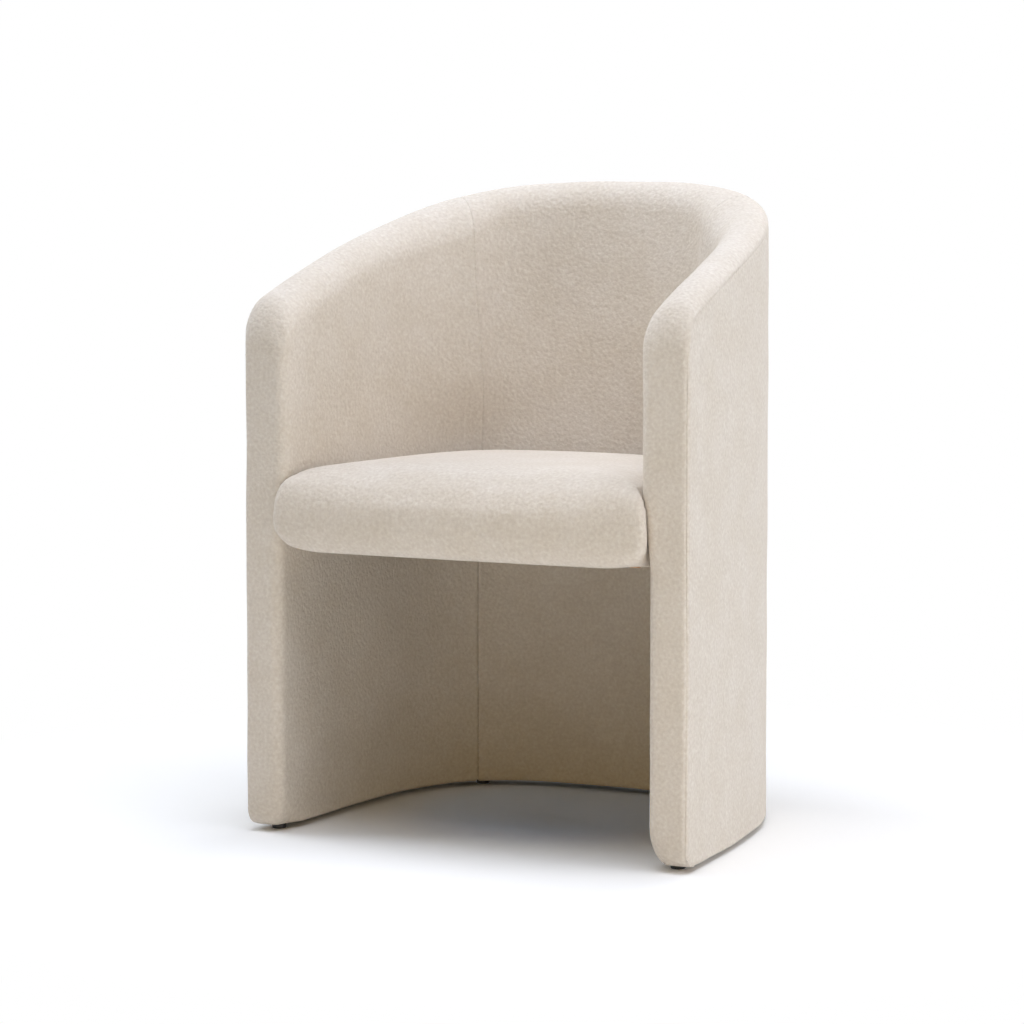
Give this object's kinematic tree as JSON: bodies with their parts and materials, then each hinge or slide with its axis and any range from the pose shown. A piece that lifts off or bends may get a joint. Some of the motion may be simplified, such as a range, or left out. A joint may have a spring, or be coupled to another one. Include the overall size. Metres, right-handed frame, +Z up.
{
  "type": "upholstered tub chair",
  "caption": "Fully upholstered tub chair: a padded wall curves in a U round a crowned seat held between its sides, open beneath, with a soft rolled rim that rises to the back.",
  "frame": {"origin": "middle of the chair's footprint, on the floor", "axes": "+Z up; -Y is the front, where the arms end and a sitter's legs come out; +X is the viewer's right when facing the chair's front, which is the sitter's left"},
  "size_m": [0.604, 0.5108, 0.821],
  "materials": {
    "cream_fabric": "woven wool-like cream upholstery, matt",
    "foam": "open-cell upholstery foam, stated as fabric because the list has no foam",
    "beech": "sawn and planed beech, bare",
    "plywood": "bare plywood",
    "hardboard": "thin bent hardboard, bare",
    "black_cloth": "black dust cloth, matt",
    "black_plastic": "moulded black plastic, satin",
    "zinc_steel": "zinc-plated steel"
  },
  "bodies": {
    "root": {"front_post_left": "beech", "back_post_left": "beech", "bottom_rail_left": "beech", "seat_height_rail_left": "beech", "top_rail_left": "beech", "seat_rail_left": "beech", "corner_block_left": "beech", "outer_board_left": "hardboard", "inner_board_left": "hardboard", "inner_cover_left": "cream_fabric", "wall_foam_left": "foam", "left_seat_bolt_1": "zinc_steel", "left_seat_bolt_2": "zinc_steel", "back_seat_bolt_left": "zinc_steel", "glide_front_left": "black_plastic", "glide_screw_front_left": "zinc_steel", "glide_back_left": "black_plastic", "glide_screw_back_left": "zinc_steel", "front_post_right": "beech", "back_post_right": "beech", "bottom_rail_right": "beech", "seat_height_rail_right": "beech", "top_rail_right": "beech", "seat_rail_right": "beech", "corner_block_right": "beech", "outer_board_right": "hardboard", "inner_board_right": "hardboard", "inner_cover_right": "cream_fabric", "wall_foam_right": "foam", "right_seat_bolt_1": "zinc_steel", "right_seat_bolt_2": "zinc_steel", "back_seat_bolt_right": "zinc_steel", "glide_front_right": "black_plastic", "glide_screw_front_right": "zinc_steel", "glide_back_right": "black_plastic", "glide_screw_back_right": "zinc_steel", "bottom_rail_back": "beech", "seat_height_rail_back": "beech", "top_rail_back": "beech", "seat_rail_front": "beech", "seat_rail_back": "beech", "outer_board_back": "hardboard", "inner_board_back": "hardboard", "inner_cover_back": "cream_fabric", "outer_cover": "cream_fabric", "seat_cover": "cream_fabric", "wall_foam_back": "foam", "seat_foam": "foam", "base_cloth": "black_cloth", "seat_dust_cloth": "black_cloth", "seat_deck": "plywood"}
  },
  "joints": []
}
